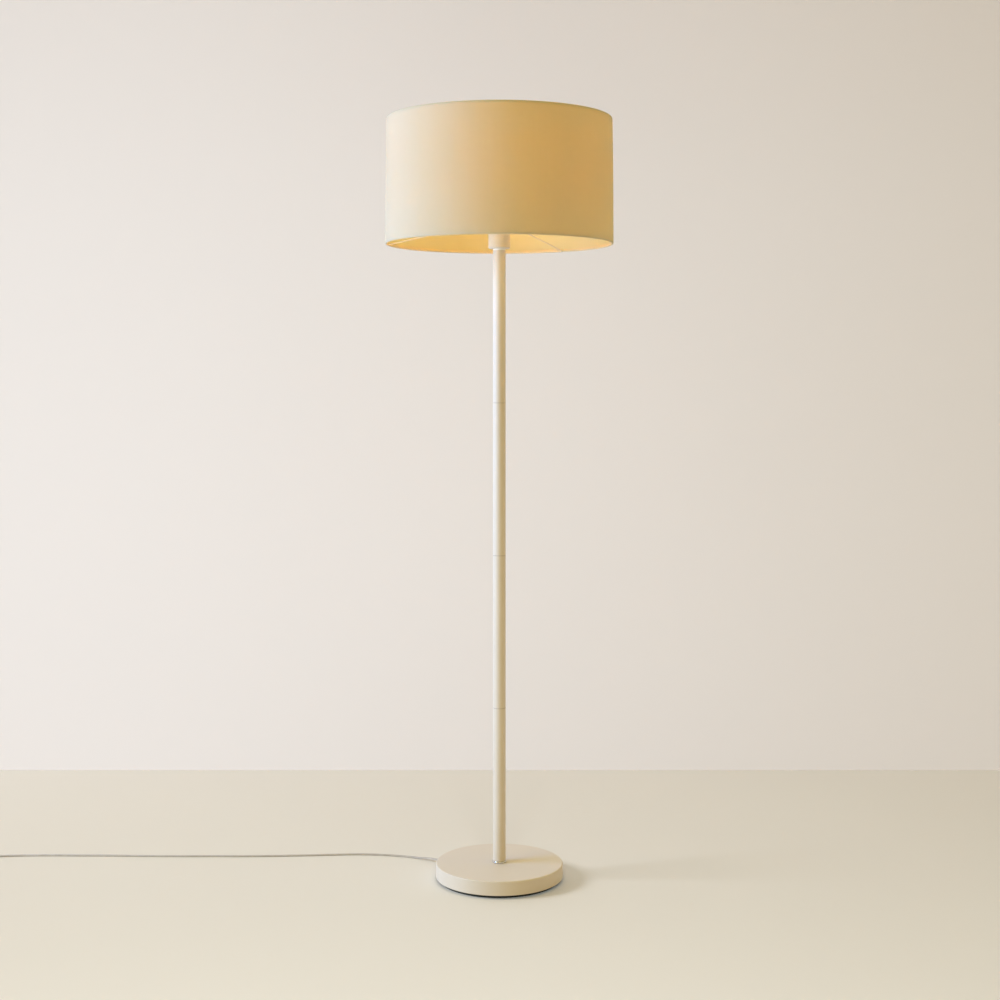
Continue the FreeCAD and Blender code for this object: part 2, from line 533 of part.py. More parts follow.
button = turned([(0, 14.0), (12.0, 14.0), (12.0, 16.0), (14.8, 16.0), (14.8, 14.2), (BUTTON_R + 1.5, 14.2), (BUTTON_R + 1.5, 16.2), (BUTTON_R, 16.2),
                 (BUTTON_R, BUTTON_TOP - 3.4), (BUTTON_R - 0.8, BUTTON_TOP - 1.9), (BUTTON_R - 3.2, BUTTON_TOP - 1.1), (9.0, BUTTON_TOP - 0.3), (4.0, BUTTON_TOP - 0.02), (0, BUTTON_TOP)])
button.translate(V(sx, sy, 0))
put("switch_button", button)
put("switch_bridge", box(sx - 9.5, sx + 9.5, sy + 5.2, sy + 8.4, 13.2, 13.95))

helix = Part.makeHelix(2.6, 10.7, 3.9)
helix.translate(V(sx, sy, 2.65))
wire_r = 0.35
mk = Part.BRepOffsetAPI.MakePipeShell(Part.Wire(helix.Edges))
mk.setFrenetMode(True)
hp = helix.Edges[0].valueAt(helix.Edges[0].FirstParameter)
ht = helix.Edges[0].tangentAt(helix.Edges[0].FirstParameter)
mk.add(Part.Wire(Part.makeCircle(wire_r, hp, ht)))
mk.build()
mk.makeSolid()
spring = mk.shape()
print("spring volume", round(spring.Volume, 2), "expected", round(math.pi * wire_r ** 2 * helix.Length, 2), spring.isValid())
put("switch_spring", spring)

terms = []
for s in (-1, 1):
    t = box(sx + 9.0 * s - 3.0, sx + 9.0 * s + 3.0, sy + 4.6, sy + 9.0, 2.3, 9.9)
    t = t.fuse(box(min(sx + 9.0 * s, sx + 20.0 * s), max(sx + 9.0 * s, sx + 20.0 * s), sy + 4.6, sy + 9.0, 2.3, 3.4)).removeSplitter()
    terms.append(t)
put("switch_contacts", Part.makeCompound(terms))
put("switch_screws", Part.makeCompound([screw(1.48, 2.9, SW_TOP - 4.5, 2.6, 0.4, sx + 31.0 * s, sy + 9.5 * s) for s in (-1, 1)]))

bush = []
for s in (-1, 1):
    x0 = SW_L / 2
    g = Part.makeCone(4.3, 3.4, 12.0, V(x0, 0, SW_ENTRY_Z), V(1, 0, 0))
    inner = Part.Face(stadium((x0 - 6.0, 0, SW_ENTRY_Z), (0, 1, 0), (0, 0, 1), 8.2, 6.0)).extrude(V(6.0, 0, 0))
    flange = Part.Face(stadium((x0 - 6.0, 0, SW_ENTRY_Z), (0, 1, 0), (0, 0, 1), 11.0, 4.2)).extrude(V(3.0, 0, 0))
    g = g.fuse(inner).fuse(flange)
    g = g.cut(Part.Face(stadium((x0 - 10.0, 0, SW_ENTRY_Z), (0, 1, 0), (0, 0, 1), CORD_W, CORD_H)).extrude(V(40, 0, 0))).removeSplitter()
    bush.append(at(g, 0 if s > 0 else 180, sx, sy))
put("switch_bushes", Part.makeCompound(bush))
ends = []
for s in (-1, 1):
    f = Part.Face(stadium((sx + (SW_L / 2 + 12.0) * s, sy, SW_ENTRY_Z), (0, 1, 0), (0, 0, 1), CORD_W, CORD_H)).extrude(V(-26.0 * s, 0, 0))
    ends.append(f)
put("switch_lead_ends", Part.makeCompound(ends))

# ---------------------------------------------------------------- two-pin plug, flat on the floor
yb = PLUG_Y0 - 22.0                                        # back of the body
yf = yb - 35.0                                             # front face
sec = []
for y, w, t, c in ((yb, 13.0, 10.0, 4.4), (yb - 5.0, 19.0, 12.2, 5.0), (yb - 14.0, 26.5, 13.4, 5.6), (yb - 26.0, 34.0, 13.7, 5.8), (yf, 35.3, 13.7, 5.8)):
    r = box(PLUG_X - w / 2, PLUG_X + w / 2, y, y + 1.0, PLUG_Z - t / 2, PLUG_Z + t / 2)
    r = r.makeFillet(c, [e for e in r.Edges if abs(e.Vertexes[0].Y - e.Vertexes[-1].Y) > 0.5])
    face = [f for f in r.Faces if abs(f.BoundBox.YMin - y) < 1e-6 and abs(f.BoundBox.YMax - y) < 1e-6][0]
    sec.append(face.OuterWire)
body = Part.makeLoft(sec, True, True)
body = body.Solids[0]
if body.Volume < 0:
    body.reverse()
relief = Part.makeCone(5.0, 3.5, 22.2, V(PLUG_X, yb - 0.2, PLUG_Z), V(0, 1, 0))
for k in range(4):
    y0 = yb + 4.0 + 4.0 * k
    gap = Part.makeCylinder(8, 1.4, V(PLUG_X, y0, PLUG_Z), V(0, 1, 0)).cut(Part.makeCylinder(3.3, 3, V(PLUG_X, y0 - 1, PLUG_Z), V(0, 1, 0)))
    side_gap = box(PLUG_X - 9, PLUG_X + 9, y0 - 1, y0 + 3, PLUG_Z + 1.1, 20).fuse(box(PLUG_X - 9, PLUG_X + 9, y0 - 1, y0 + 3, -5, PLUG_Z - 1.1)) if k % 2 else box(PLUG_X - 9, PLUG_X - 1.1, y0 - 1, y0 + 3, -5, 20).fuse(box(PLUG_X + 1.1, PLUG_X + 9, y0 - 1, y0 + 3, -5, 20))
    relief = relief.cut(gap.common(side_gap))
plug = body.fuse(relief)
pins = []
for s in (-1, 1):
    x = PLUG_X + PIN_PITCH / 2 * s
    core = Part.makeCylinder(PIN_R, PIN_L, V(x, yf, PLUG_Z), V(0, -1, 0))
    core = core.makeFillet(PIN_R * 0.8, [e for e in core.Edges if isinstance(e.Curve, Part.Circle) and abs(e.Curve.Center.y - (yf - PIN_L)) < 0.01])
    core = core.fuse(Part.makeCylinder(PIN_R - 0.6, 8.0, V(x, yf + 8.0, PLUG_Z), V(0, -1, 0)))
    pins.append(core)
    plug = plug.cut(Part.makeCylinder(PIN_R - 0.6, 10.0, V(x, yf + 8.0, PLUG_Z), V(0, -1, 0)))
plug = plug.cut(Part.Face(stadium((PLUG_X, yb + 40, PLUG_Z), (1, 0, 0), (0, 0, 1), CORD_W, CORD_H)).extrude(V(0, -50, 0))).removeSplitter()
put("plug_body", plug)
put("plug_pins", Part.makeCompound(pins))
put("plug_lead_end", Part.Face(stadium((PLUG_X, PLUG_Y0, PLUG_Z), (1, 0, 0), (0, 0, 1), CORD_W, CORD_H)).extrude(V(0, -31.5, 0)))

# ---------------------------------------------------------------- write
for name, shape in nodes.items():
    shape.exportStep(f"parts/{name}.step")
print(len(nodes), "nodes")
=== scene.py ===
import bpy, bmesh, math, random
import numpy as np
from mathutils import Vector, Matrix


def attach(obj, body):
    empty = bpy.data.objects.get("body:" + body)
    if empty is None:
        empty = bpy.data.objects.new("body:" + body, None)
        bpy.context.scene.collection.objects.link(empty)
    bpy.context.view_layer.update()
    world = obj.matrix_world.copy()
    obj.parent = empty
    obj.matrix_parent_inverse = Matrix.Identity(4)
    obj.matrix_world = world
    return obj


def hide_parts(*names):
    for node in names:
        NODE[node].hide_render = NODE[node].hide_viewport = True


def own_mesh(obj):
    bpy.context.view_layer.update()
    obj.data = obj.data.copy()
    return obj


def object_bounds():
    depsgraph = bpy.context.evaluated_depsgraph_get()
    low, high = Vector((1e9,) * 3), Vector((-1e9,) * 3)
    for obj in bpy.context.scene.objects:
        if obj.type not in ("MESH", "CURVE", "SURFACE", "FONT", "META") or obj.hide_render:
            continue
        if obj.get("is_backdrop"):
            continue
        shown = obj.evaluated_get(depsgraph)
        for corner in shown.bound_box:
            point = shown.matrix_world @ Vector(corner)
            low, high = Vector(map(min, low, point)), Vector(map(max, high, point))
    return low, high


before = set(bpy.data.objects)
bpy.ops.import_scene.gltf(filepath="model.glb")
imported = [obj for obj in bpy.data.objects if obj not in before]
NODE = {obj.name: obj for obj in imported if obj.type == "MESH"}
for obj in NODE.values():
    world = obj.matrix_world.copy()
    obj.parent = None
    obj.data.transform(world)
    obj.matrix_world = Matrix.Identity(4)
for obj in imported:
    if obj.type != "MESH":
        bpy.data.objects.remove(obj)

# Column floor lamp: looks. Metres, +Z up, the lamp stands at the origin, -Y is the front.
random.seed(7)
rng = np.random.default_rng(7)
scene = bpy.context.scene
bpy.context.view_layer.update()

# ------------------------------------------------------------------ camera
cam_data = bpy.data.cameras.new("cam")
cam = bpy.data.objects.new("cam", cam_data)
scene.collection.objects.link(cam)
cam.location = (0.0013, -3.115, 0.9824)
cam.rotation_euler = (math.radians(90), 0, 0)
cam_data.sensor_width = 36.0
cam_data.lens = 1.5765 * 36.0
cam_data.shift_y = -0.1184
cam_data.clip_start, cam_data.clip_end = 0.05, 60
scene.camera = cam

scene.view_settings.view_transform = "Standard"
scene.view_settings.look = "None"
scene.view_settings.exposure = 0.0
scene.cycles.use_denoising = True
scene.cycles.max_bounces = 20
scene.cycles.diffuse_bounces = 16
scene.cycles.transmission_bounces = 16
scene.cycles.transparent_max_bounces = 12
scene.cycles.sample_clamp_indirect = 6.0
scene.cycles.caustics_reflective = False
scene.cycles.caustics_refractive = False


# ------------------------------------------------------------------ node helpers
class Tree:
    def __init__(self, name):
        self.m = bpy.data.materials.new(name)
        self.m.use_nodes = True
        self.t = self.m.node_tree
        self.t.nodes.clear()
        self.out = self.t.nodes.new("ShaderNodeOutputMaterial")

    def new(self, kind, **props):
        n = self.t.nodes.new(kind)
        for k, v in props.items():
            setattr(n, k, v)
        return n

    def link(self, a, b):
        self.t.links.new(a, b)
        return b

    def set(self, node, **values):
        for k, v in values.items():
            node.inputs[k.replace("_", " ")].default_value = v
        return node

    def math(self, op, a, b=None, clamp=False):
        n = self.new("ShaderNodeMath", operation=op, use_clamp=clamp)
        for i, x in enumerate((a, b)):
            if x is None:
                continue
            if isinstance(x, (int, float)):
                n.inputs[i].default_value = x
            else:
                self.link(x, n.inputs[i])
        return n.outputs[0]

    def obj(self):
        return self.new("ShaderNodeTexCoord").outputs["Object"]

    def noise(self, vec, scale, detail=3.0, rough=0.55, dims="3D"):
        n = self.new("ShaderNodeTexNoise", noise_dimensions=dims)
        n.inputs["Scale"].default_value = scale
        n.inputs["Detail"].default_value = detail
        n.inputs["Roughness"].default_value = rough
        self.link(vec, n.inputs["Vector"])
        return n.outputs["Fac"]

    def stretch(self, vec, x, y, z):
        n = self.new("ShaderNodeMapping", vector_type="POINT")
        n.inputs["Scale"].default_value = (x, y, z)
        self.link(vec, n.inputs["Vector"])
        return n.outputs[0]

    def span(self, fac, low, high, a=0.0, b=1.0):
        n = self.new("ShaderNodeMapRange", clamp=True)
        self.link(fac, n.inputs["Value"])
        n.inputs["From Min"].default_value = a
        n.inputs["From Max"].default_value = b
        n.inputs["To Min"].default_value = low
        n.inputs["To Max"].default_value = high
        return n.outputs["Result"]

    def mix(self, fac, a, b):
        n = self.new("ShaderNodeMix", data_type="RGBA")
        for sock, x in ((n.inputs[0], fac), (n.inputs[6], a), (n.inputs[7], b)):
            if isinstance(x, (int, float)):
                sock.default_value = x
            elif isinstance(x, (tuple, list)):
                sock.default_value = (*x[:3], 1.0)
            else:
                self.link(x, sock)
        return n.outputs[2]

    def bump(self, height, strength, distance, normal=None):
        n = self.new("ShaderNodeBump")
        n.inputs["Strength"].default_value = strength
        n.inputs["Distance"].default_value = distance
        self.link(height, n.inputs["Height"])
        if normal is not None:
            self.link(normal, n.inputs["Normal"])
        return n.outputs[0]

    def principled(self, **values):
        n = self.new("ShaderNodeBsdfPrincipled")
        for k, v in values.items():
            key = k.replace("_", " ")
            n.inputs[key].default_value = (*v, 1.0) if isinstance(v, tuple) and len(v) == 3 else v
        return n


def srgb(r, g, b):
    return tuple(((c / 255) / 12.92 if c / 255 <= 0.04045 else ((c / 255 + 0.055) / 1.055) ** 2.4) for c in (r, g, b))


def plain(name, light, dark, rough, bump_scale=600.0, bump_strength=0.1, bump_dist=0.0002, metallic=0.0, spread=0.06, tint_scale=14.0, coat=0.0, spec=0.5, stretch=None):
    """A surface with cloudy colour and roughness variation and a fine grain."""
    t = Tree(name)
    p = t.principled(Metallic=metallic)
    p.inputs["Specular IOR Level"].default_value = spec
    if coat:
        p.inputs["Coat Weight"].default_value = coat
        p.inputs["Coat Roughness"].default_value = 0.12
    o = t.obj()
    v = t.stretch(o, *stretch) if stretch else o
    big = t.noise(o, tint_scale, 4.0)
    fine = t.noise(v, bump_scale, 2.0)
    t.link(t.mix(t.span(big, 0.0, 1.0, 0.3, 0.7), dark, light), p.inputs["Base Color"])
    both = t.math("ADD", t.math("MULTIPLY", big, 0.6), t.math("MULTIPLY", fine, 0.4))
    t.link(t.span(both, rough - spread, rough + spread, 0.3, 0.7), p.inputs["Roughness"])
    t.link(t.bump(fine, bump_strength, bump_dist), p.inputs["Normal"])
    t.link(p.outputs[0], t.out.inputs[0])
    return t.m


# ------------------------------------------------------------------ cords: the line first
CORD_W, CORD_H = 0.0054, 0.0032
Z = 0.00165


def smooth_line(points, name):
    """Points read from the route's own NURBS spline."""
    cu = bpy.data.curves.new(name, "CURVE")
    cu.dimensions = "3D"
    sp = cu.splines.new("NURBS")
    sp.points.add(len(points) - 1)
    for q, p in zip(sp.points, points):
        q.co = (*p, 1.0)
    sp.order_u = 3
    sp.use_endpoint_u = True
    sp.resolution_u = 8
    ob = bpy.data.objects.new(name, cu)
    me = bpy.data.meshes.new_from_object(ob)
    line = np.array([v.co for v in me.vertices])
    bpy.data.meshes.remove(me)
    bpy.data.objects.remove(ob)
    bpy.data.curves.remove(cu)
    return line


def flex_section(n=20):
    """Outline of a flat two-core flex, with the faint waist between its cores."""
    a = (CORD_W - CORD_H) / 2
    r = CORD_H / 2
    pts = []
    for k in range(n):
        t = 2 * math.pi * k / n
        c, s = math.cos(t), math.sin(t)
        x = r * c + (a if c >= 0 else -a) * min(1.0, abs(c) * 3.0)
        y = r * s * (1.0 - 0.07 * math.exp(-((x / 0.0006) ** 2)))
        pts.append((x, y))
    return pts


def flat_cord(name, line, roll, material, body):
    """A closed tube with the flex's section along a line. roll(s) is 0 where the flex lies flat and 1 where it stands on edge."""
    seg = np.linalg.norm(np.diff(line, axis=0), axis=1)
    keep = np.concatenate([[True], seg > 1e-7])
    line = line[keep]
    along = np.concatenate([[0], np.cumsum(np.linalg.norm(np.diff(line, axis=0), axis=1))])
    turn = [roll(a / along[-1], a) * math.pi / 2 for a in along]
    low = np.array([CORD_H / 2 + (CORD_W - CORD_H) / 2 * abs(math.sin(a)) + 0.00005 for a in turn])
    line[:, 2] = np.maximum(line[:, 2], low)
    tan = np.gradient(line, axis=0)
    tan /= np.linalg.norm(tan, axis=1)[:, None]
    sec = flex_section()
    bm = bmesh.new()
    rings = []
    for i, (p, t) in enumerate(zip(line, tan)):
        side = np.cross(t, (0, 0, 1))
        side /= np.linalg.norm(side)
        up = np.cross(side, t)
        a = turn[i]
        w = math.cos(a) * side + math.sin(a) * up
        h = -math.sin(a) * side + math.cos(a) * up
        rings.append([bm.verts.new(p + w * x + h * y) for x, y in sec])
    for a, b in zip(rings, rings[1:]):
        for k in range(len(sec)):
            bm.faces.new((a[k], a[(k + 1) % len(sec)], b[(k + 1) % len(sec)], b[k]))
    bm.faces.new(list(reversed(rings[0])))
    bm.faces.new(rings[-1])
    bmesh.ops.recalc_face_normals(bm, faces=bm.faces)
    me = bpy.data.meshes.new(name)
    bm.to_mesh(me)
    bm.free()
    for f in me.polygons:
        f.use_smooth = len(f.vertices) == 4
    ob = bpy.data.objects.new(name, me)
    scene.collection.objects.link(ob)
    me.materials.append(material)
    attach(ob, body)
    return ob, [list(map(float, p)) for p in line]


def flex_material():
    t = Tree("flex")
    o = t.obj()
    p = t.principled(Roughness=0.36)
    p.inputs["Specular IOR Level"].default_value = 0.45
    cloud = t.noise(o, 60.0, 3.0)
    grain = t.noise(o, 1500.0, 2.0)
    t.link(t.mix(t.span(cloud, 0, 1, 0.3, 0.7), srgb(178, 168, 161), srgb(192, 184, 177)), p.inputs["Base Color"])
    t.link(t.span(cloud, 0.30, 0.44, 0.3, 0.7), p.inputs["Roughness"])
    t.link(t.bump(t.math("ADD", t.math("MULTIPLY", cloud, 0.8), t.math("MULTIPLY", grain, 0.2)), 0.15, 0.0003), p.inputs["Normal"])
    t.link(p.outputs[0], t.out.inputs[0])
    return t.m


M_FLEX = flex_material()

lead_points = [
    (-0.1206, 0.0909, 0.0095),
    (-0.1386, 0.1054, 0.0084),
    (-0.1566, 0.1222, 0.0040),
    (-0.1793, 0.1372, Z),
    (-0.2078, 0.1457, Z),
    (-0.2432, 0.1534, Z),
    (-0.2855, 0.1572, Z),
    (-0.3340, 0.1552, Z),
    (-0.3890, 0.1502, Z),
    (-0.4520, 0.1462, Z),
    (-0.5210, 0.1436, Z),
    (-0.5920, 0.1443, Z),
    (-0.6640, 0.1436, Z),
    (-0.7330, 0.1450, Z),
    (-0.8000, 0.1484, Z),
    (-0.8680, 0.1488, Z),
    (-0.9360, 0.1504, Z),
    (-0.9960, 0.1482, Z),
    (-1.0380, 0.1424, 0.0024),
    (-1.0640, 0.1405, 0.0046),
]
line = smooth_line(lead_points, "lead_line")
lead, path = flat_cord("mains_lead", line, lambda f, s: 0.0, M_FLEX, "stand")
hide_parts("cord_lead")

coil_c = Vector((-1.166, 0.026))
tail_points = [
    (-1.1680, 0.1405, 0.0046),
    (-1.1880, 0.1402, 0.0025),
    (-1.2080, 0.1310, Z),
    (-1.2170, 0.1105, Z),
    (-1.2140, 0.0865, Z),
    (-1.2045, 0.0640, 0.0020),
    (-1.1985, 0.0450, 0.0028),
]
# four neat turns: outwards in on the floor, then back out on top
turns, per = 4, 12
for k in range(1, turns * per):
    f = k / (turns * per)
    ang = math.radians(180 + 360 * turns * f)
    inner = 1 - abs(2 * f - 1)
    r = (0.0320 - 0.0043 * min(1.0, inner * 1.15)) / 0.967
    lift = min(1.0, max(0.0, (f - 0.46) / 0.08))
    z = 0.00335 + 0.0055 * (3 * lift ** 2 - 2 * lift ** 3) + 0.00012 * math.sin(5.1 * k)
    r += 0.00022 * math.sin(2.3 * k + 0.7)
    tail_points.append((coil_c.x + r * math.cos(ang), coil_c.y + r * math.sin(ang), z))
tail_points += [
    (-1.1984, 0.0240, 0.0086),
    (-1.1966, 0.0080, 0.0074),
    (-1.1925, -0.0090, 0.0056),
    (-1.1885, -0.0250, 0.0056),
    (-1.1870, -0.0420, 0.00685),
]
line = smooth_line(tail_points, "tail_line")
full = float(np.linalg.norm(np.diff(line, axis=0), axis=1).sum())


def tail_roll(f, s):
    a = min(1.0, max(0.0, (s - 0.045) / 0.075))
    b = min(1.0, max(0.0, (full - 0.004 - s) / 0.050))
    return (3 * a ** 2 - 2 * a ** 3) * (3 * b ** 2 - 2 * b ** 3)


tail, path = flat_cord("mains_lead_plug_side", line, tail_roll, M_FLEX, "stand")
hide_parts("cord_tail", "cord_coil", "cord_end")
print("tail length", round(full, 4))

# ------------------------------------------------------------------ materials
M_CREAM = plain("cream_coat", (0.741, 0.658, 0.580), (0.720, 0.637, 0.557), 0.50, 1100.0, 0.10, 0.00025, spread=0.05, tint_scale=7.0, spec=0.4)


def tube_material():
    """The cream coat again, with a thin painted shade line where two sections meet."""
    t = Tree("cream_coat_tube")
    o = t.obj()
    p = t.principled()
    p.inputs["Specular IOR Level"].default_value = 0.4
    big = t.noise(o, 7.0, 4.0)
    fine = t.noise(o, 1100.0, 2.0)
    sep = t.new("ShaderNodeSeparateXYZ")
    t.link(o, sep.inputs[0])
    # painted shade: a narrow band at each joint between tube sections is darkened to a warm grey-brown, standing for
    # the shadow in the joint
    line = None
    for z in (0.3384, 0.6394, 0.9404):
        d = t.math("ABSOLUTE", t.math("SUBTRACT", sep.outputs[2], z))
        painted_seam_shade = t.span(d, 0.55, 0.0, 0.00030, 0.00056)
        line = painted_seam_shade if line is None else t.math("MAXIMUM", line, painted_seam_shade)
    coat = t.mix(t.span(big, 0.0, 1.0, 0.3, 0.7), (0.720, 0.637, 0.557), (0.741, 0.658, 0.580))
    t.link(t.mix(line, coat, srgb(120, 108, 92)), p.inputs["Base Color"])
    both = t.math("ADD", t.math("MULTIPLY", big, 0.6), t.math("MULTIPLY", fine, 0.4))
    t.link(t.span(both, 0.45, 0.55, 0.3, 0.7), p.inputs["Roughness"])
    t.link(t.bump(fine, 0.10, 0.00025), p.inputs["Normal"])
    t.link(p.outputs[0], t.out.inputs[0])
    return t.m


M_TUBE = tube_material()
M_CHROME = plain("chrome", srgb(238, 239, 241), srgb(226, 228, 232), 0.24, 2500.0, 0.02, 0.00005, metallic=1.0, spread=0.05, tint_scale=40.0)
M_WHITE = plain("white_plastic", srgb(249, 247, 244), srgb(245, 243, 239), 0.38, 1400.0, 0.08, 0.0001, tint_scale=30.0)
M_WIRE = plain("white_wire", srgb(240, 234, 226), srgb(232, 226, 216), 0.42, 1800.0, 0.12, 0.0001, tint_scale=50.0)
M_BLACK = plain("black_plastic", (0.012, 0.012, 0.013), (0.008, 0.008, 0.009), 0.55, 2200.0, 0.25, 0.0001, tint_scale=25.0)
M_FOAM = plain("black_foam", (0.016, 0.016, 0.017), (0.008, 0.008, 0.008), 0.85, 900.0, 0.6, 0.0004, tint_scale=60.0)
M_IRON = plain("cast_iron", (0.09, 0.088, 0.085), (0.05, 0.049, 0.048), 0.7, 500.0, 0.7, 0.0006, metallic=0.6, tint_scale=30.0)
M_ZINC = plain("zinc_steel", (0.66, 0.66, 0.64), (0.52, 0.53, 0.53), 0.34, 900.0, 0.12, 0.0001, metallic=1.0, tint_scale=90.0, spread=0.1)
M_BRASS = plain("brass", (0.80, 0.60, 0.27), (0.66, 0.47, 0.19), 0.3, 900.0, 0.1, 0.0001, metallic=1.0, tint_scale=90.0, spread=0.1)
M_NICKEL = plain("nickel", (0.76, 0.73, 0.68), (0.66, 0.63, 0.58), 0.24, 1200.0, 0.08, 0.0001, metallic=1.0, tint_scale=80.0, spread=0.08)
M_CERAMIC = plain("steatite", srgb(232, 228, 218), srgb(222, 217, 205), 0.25, 500.0, 0.2, 0.0003, tint_scale=40.0, coat=0.4)
M_SWITCH = plain("switch_plastic", srgb(238, 236, 230), srgb(232, 230, 223), 0.40, 1500.0, 0.14, 0.00012, tint_scale=30.0)
M_TIE = plain("tie_plastic", srgb(236, 235, 232), srgb(226, 225, 221), 0.35, 1500.0, 0.1, 0.0001, tint_scale=60.0)
M_CORE = plain("core_pvc", srgb(120, 72, 40), srgb(104, 60, 34), 0.4, 1500.0, 0.1, 0.0001, tint_scale=60.0)
M_GLASS = plain("black_glass", (0.02, 0.02, 0.025), (0.012, 0.012, 0.016), 0.15, 400.0, 0.1, 0.0001, tint_scale=60.0, coat=0.5)

for name, m in {
    "base_cover": M_CREAM, "tube_section_1": M_TUBE, "tube_section_2": M_TUBE, "tube_section_3": M_TUBE, "tube_section_4": M_TUBE,
    "socket_cup": M_CREAM, "base_weight": M_IRON, "bottom_cover": M_BLACK, "base_pad": M_FOAM, "foot_ring": M_CHROME, "spacer_ring": M_WHITE,
    "bottom_screws": M_ZINC, "base_rod": M_ZINC, "base_washer": M_ZINC, "base_nut": M_ZINC, "joiner_1": M_ZINC, "joiner_2": M_ZINC,
    "joiner_3": M_ZINC, "top_nipple": M_ZINC, "cup_nut": M_ZINC, "tube_inserts": M_ZINC, "switch_screws": M_ZINC, "switch_spring": M_ZINC,
    "holder_cap": M_WHITE, "holder_skirt": M_WHITE, "shade_ring_nut": M_WHITE, "bulb_housing": M_WHITE, "holder_insert": M_CERAMIC,
    "terminal_screws": M_BRASS, "centre_contact": M_BRASS, "side_contact": M_BRASS, "switch_contacts": M_BRASS, "switch_bridge": M_BRASS,
    "screw_shell": M_NICKEL, "bulb_cap": M_NICKEL, "bulb_contact": M_NICKEL, "plug_pins": M_NICKEL, "switch_lead_ends": M_FLEX,
    "plug_lead_end": M_FLEX, "inner_lead": M_FLEX, "cord_bush": M_FLEX, "switch_bushes": M_FLEX, "lead_cores": M_CORE, "switch_base": M_SWITCH,
    "switch_cover": M_SWITCH, "switch_button": M_SWITCH, "plug_body": M_SWITCH, "coil_tie": M_TIE, "bulb_insulator": M_GLASS,
    "spider_hub": M_WIRE, "spider_arms": M_WIRE, "shade_bottom_ring": M_WIRE, "shade_top_ring": M_WIRE,
}.items():
    me = NODE[name].data
    me.materials.clear()
    me.materials.append(m)


# ------------------------------------------------------------------ shade cloth and lining
def weave(t, o, pitch=0.00062, radius=0.224):
    """Plain weave round the shade: (height, slub) from the object's own coordinates."""
    sep = t.new("ShaderNodeSeparateXYZ")
    t.link(o, sep.inputs[0])
    ang = t.math("ARCTAN2", sep.outputs[1], sep.outputs[0])
    u = t.math("MULTIPLY", ang, radius / pitch)
    v = t.math("MULTIPLY", sep.outputs[2], 1.0 / pitch)
    # threads wander a little
    wob = t.noise(o, 60.0, 2.0)
    wob = t.math("MULTIPLY", t.math("SUBTRACT", wob, 0.5), 1.1)
    u, v = t.math("ADD", u, wob), t.math("ADD", v, wob)
    su = t.math("SINE", t.math("MULTIPLY", u, math.pi))
    sv = t.math("SINE", t.math("MULTIPLY", v, math.pi))
    a, b = t.math("ABSOLUTE", su), t.math("ABSOLUTE", sv)
    par = t.math("GREATER_THAN", t.math("MULTIPLY", su, sv), 0.0)
    ha = t.math("MULTIPLY", a, t.math("ADD", t.math("MULTIPLY", b, 0.4), 0.6))
    hb = t.math("MULTIPLY", b, t.math("ADD", t.math("MULTIPLY", a, 0.4), 0.6))
    mixf = t.new("ShaderNodeMix", data_type="FLOAT")
    t.link(par, mixf.inputs[0])
    t.link(hb, mixf.inputs[2])
    t.link(ha, mixf.inputs[3])
    h = mixf.outputs[0]
    # slubs: long thick places in single threads, both ways
    comb = t.new("ShaderNodeCombineXYZ")
    t.link(u, comb.inputs[0])
    t.link(v, comb.inputs[1])
    warp = t.noise(t.stretch(comb.outputs[0], 0.21, 0.010, 1.0), 1.0, 3.0, 0.6, dims="2D")
    weft = t.noise(t.stretch(comb.outputs[0], 0.012, 0.23, 1.0), 1.0, 3.0, 0.6, dims="2D")
    slub = t.math("MULTIPLY", t.math("ADD", warp, weft), 0.5)
    return h, slub


def cloth_material():
    t = Tree("shade_cloth")
    o = t.obj()
    h, slub = weave(t, o)
    cloud = t.noise(o, 9.0, 3.0)
    tone = t.math("ADD", t.math("MULTIPLY", slub, 0.75), t.math("MULTIPLY", cloud, 0.25))
    colour = t.mix(t.span(tone, 0.0, 1.0, 0.36, 0.64), (0.75, 0.73, 0.655), (0.89, 0.875, 0.81))
    # painted shade: where the weave's height is low, between the threads, the cloth colour is darkened towards a dull
    # brown
    colour = t.mix(t.math("MULTIPLY", t.math("SUBTRACT", 1.0, h), 0.22), colour, (0.56, 0.51, 0.40))
    through = t.mix(t.span(tone, 0.0, 1.0, 0.36, 0.64), (0.99, 0.90, 0.61), (0.90, 0.795, 0.50))
    height = t.math("ADD", t.math("MULTIPLY", h, 0.6), t.math("MULTIPLY", slub, 1.2))
    n = t.bump(height, 0.35, 0.00035)
    p = t.principled(Roughness=0.85)
    p.inputs["Specular IOR Level"].default_value = 0.15
    p.inputs["Sheen Weight"].default_value = 0.25
    p.inputs["Sheen Roughness"].default_value = 0.5
    t.link(colour, p.inputs["Base Color"])
    t.link(n, p.inputs["Normal"])
    tr = t.new("ShaderNodeBsdfTranslucent")
    t.link(through, tr.inputs[0])
    t.link(n, tr.inputs[1])
    mix = t.new("ShaderNodeMixShader")
    mix.inputs[0].default_value = 0.55
    t.link(p.outputs[0], mix.inputs[1])
    t.link(tr.outputs[0], mix.inputs[2])
    t.link(mix.outputs[0], t.out.inputs[0])
    return t.m


